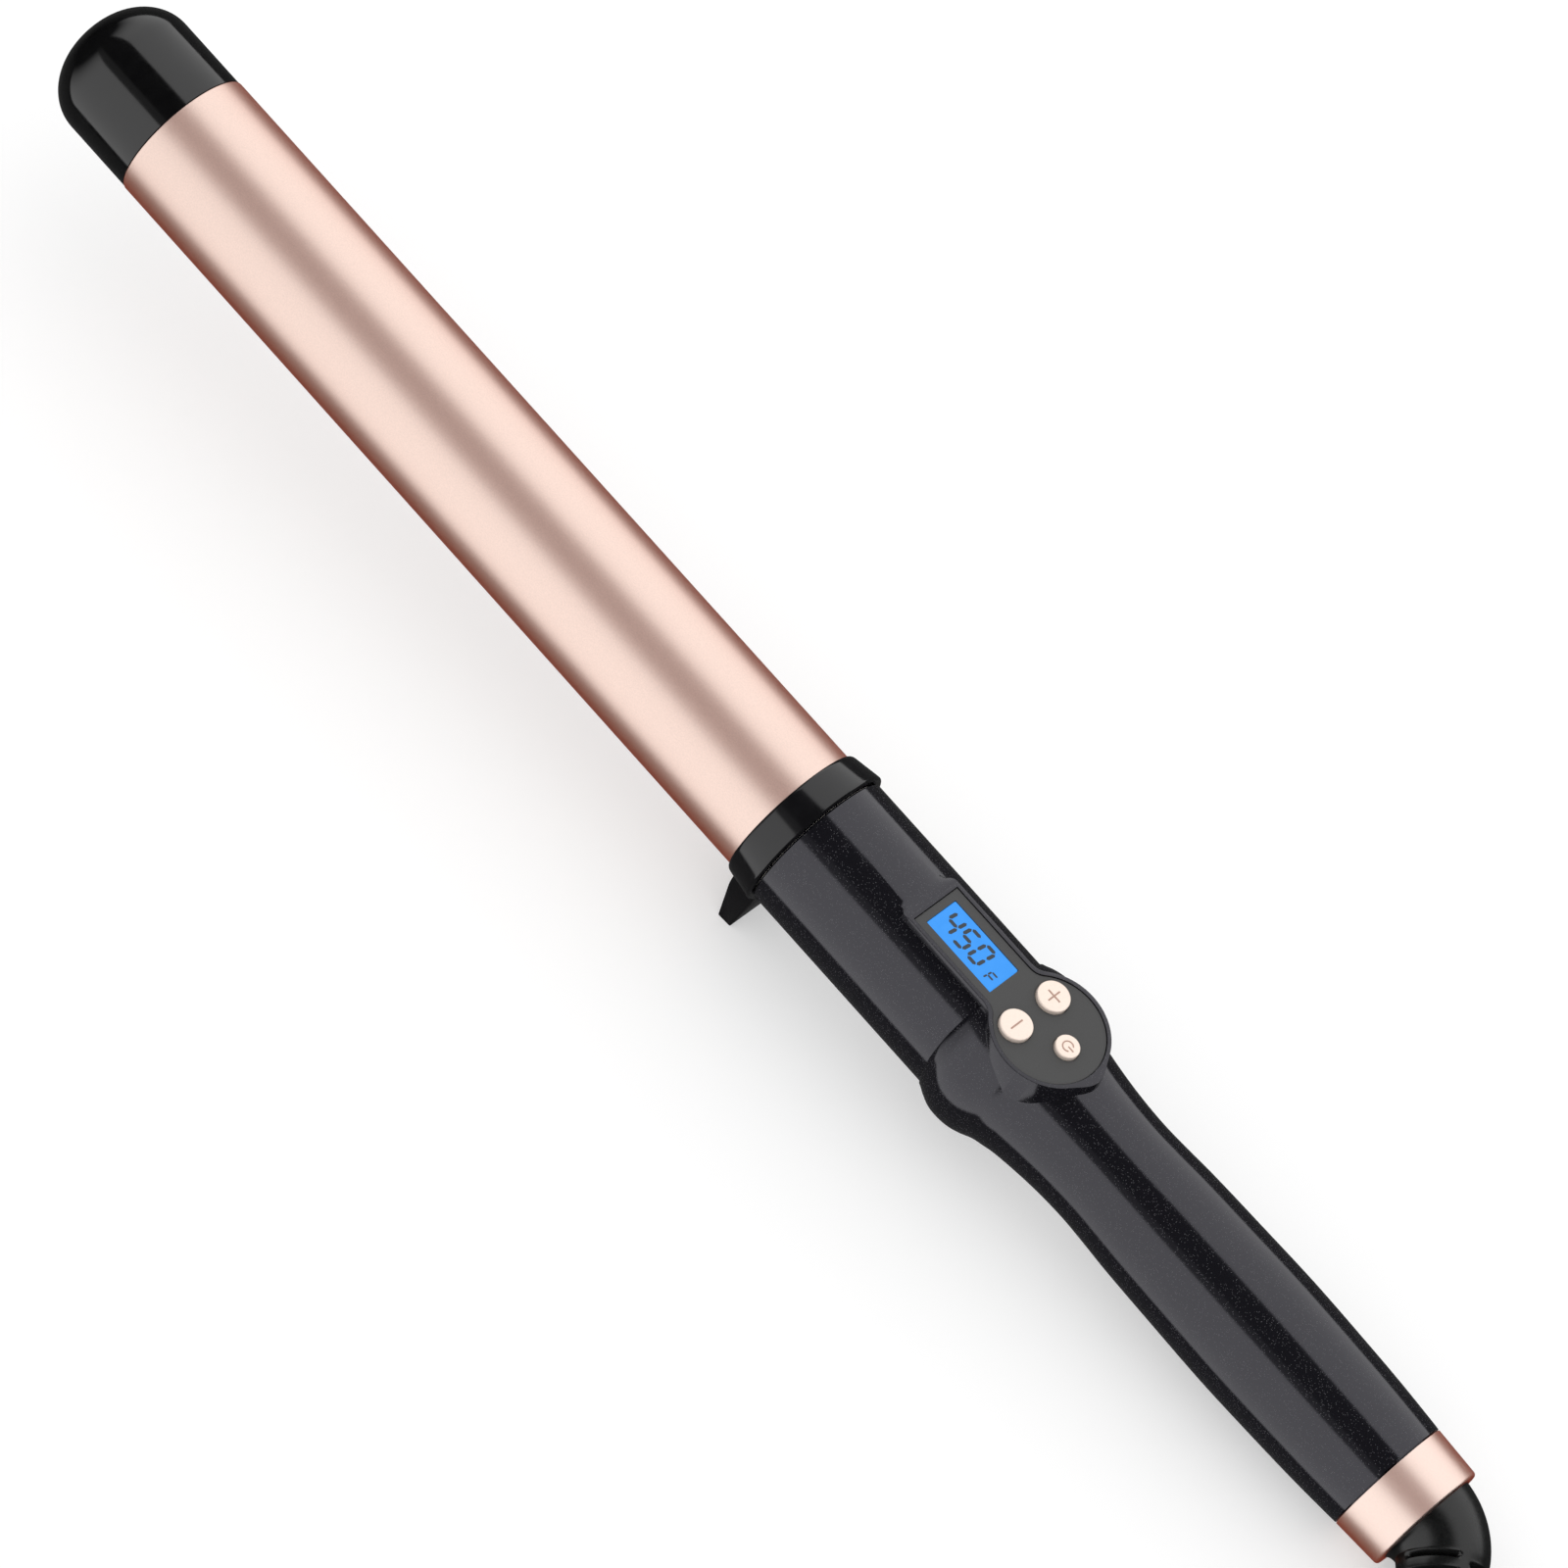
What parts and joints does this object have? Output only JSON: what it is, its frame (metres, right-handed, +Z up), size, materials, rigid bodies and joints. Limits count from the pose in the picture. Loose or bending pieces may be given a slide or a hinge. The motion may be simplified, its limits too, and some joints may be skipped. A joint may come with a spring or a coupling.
{
  "type": "curling iron",
  "caption": "Clipless curling iron: round barrel with cool tip and rest foot, contoured handle with a display and push buttons, and a swivel mains cord folded into a tied hank.",
  "frame": {"origin": "on the table, under the middle of the iron without its cord and boot, which lies at rest on its foot and its tail ring", "axes": "+X from the cool tip towards the cord, +Z up, the control side up; the barrel's axis tilts 4.54 degrees down towards the cord"},
  "size_m": [0.6267, 0.0591, 0.0605],
  "materials": {
    "rose_gold_barrel": "satin rose gold coated aluminium tube",
    "rose_gold_trim": "rose gold plated trim",
    "gloss_black": "polished black heat-resistant plastic",
    "sparkle_black": "gloss charcoal plastic with fine silver flakes",
    "overlay_grey": "matt grey panel film",
    "lcd_blue": "backlit blue display",
    "aluminium": "plain extruded aluminium",
    "ceramic": "off-white ceramic and mica",
    "steel": "zinc plated steel",
    "copper": "copper alloy contacts",
    "board_green": "green circuit board",
    "chip_black": "moulded epoxy",
    "film_yellow": "yellow capacitor case",
    "insulator_white": "white nylon and silicone insulation",
    "cord_black": "satin black flexible PVC",
    "strap_black": "black hook-and-loop strap",
    "nickel": "nickel plated brass blades"
  },
  "bodies": {
    "iron": {"barrel_tube": "rose_gold_barrel", "cool_tip": "gloss_black", "barrel_seat": "ceramic", "barrel_collar": "gloss_black", "heat_spreader_upper": "aluminium", "heat_spreader_lower": "aluminium", "ptc_heater_front": "ceramic", "ptc_heater_rear": "ceramic", "spreader_spring": "steel", "thermal_fuse": "steel", "ntc_sensor": "copper", "heater_lead_live": "insulator_white", "heater_lead_neutral": "insulator_white", "handle_shell": "sparkle_black", "handle_bottom_cover": "sparkle_black", "control_overlay": "overlay_grey", "lcd_window": "lcd_blue", "lcd_module": "aluminium", "control_board": "board_green", "microcontroller": "chip_black", "power_board": "board_green", "triac": "chip_black", "film_capacitor": "film_yellow", "mains_lead_live": "insulator_white", "mains_lead_neutral": "insulator_white", "tail_ring": "rose_gold_trim", "swivel_retainer": "insulator_white", "cover_screw_front": "steel", "cover_screw_middle": "steel", "cover_screw_rear": "steel", "switch_plus": "chip_black", "switch_minus": "chip_black", "switch_power": "chip_black", "brush_live": "copper", "brush_neutral": "copper"},
    "plus_button": {"plus_button": "rose_gold_trim"},
    "minus_button": {"minus_button": "rose_gold_trim"},
    "power_button": {"power_button": "rose_gold_trim"},
    "swivel": {"swivel_hub": "insulator_white", "slip_ring_live": "copper", "slip_ring_neutral": "copper", "cord_boot": "cord_black", "cord_lead": "cord_black", "cord_hank": "cord_black", "hank_tie": "strap_black", "mains_plug": "cord_black", "plug_blade_live": "nickel", "plug_blade_neutral": "nickel"}
  },
  "joints": [
    {"name": "plus_press", "type": "slide", "parent": "iron", "child": "plus_button", "axis": [-0.0792, 0, -0.9969], "range_m": [0, 0.0004], "stiffness_N_per_m": 800, "springref_m": -0.0005},
    {"name": "minus_press", "type": "slide", "parent": "iron", "child": "minus_button", "axis": [-0.0792, 0, -0.9969], "range_m": [0, 0.0004], "stiffness_N_per_m": 800, "springref_m": -0.0005},
    {"name": "power_press", "type": "slide", "parent": "iron", "child": "power_button", "axis": [-0.0792, 0, -0.9969], "range_m": [0, 0.0004], "stiffness_N_per_m": 800, "springref_m": -0.0005},
    {"name": "swivel_turn", "type": "hinge", "parent": "iron", "child": "swivel", "pos_m": [0.18755, 0, 0.01446], "axis": [0.9969, 0, -0.0792], "continuous": true}
  ]
}
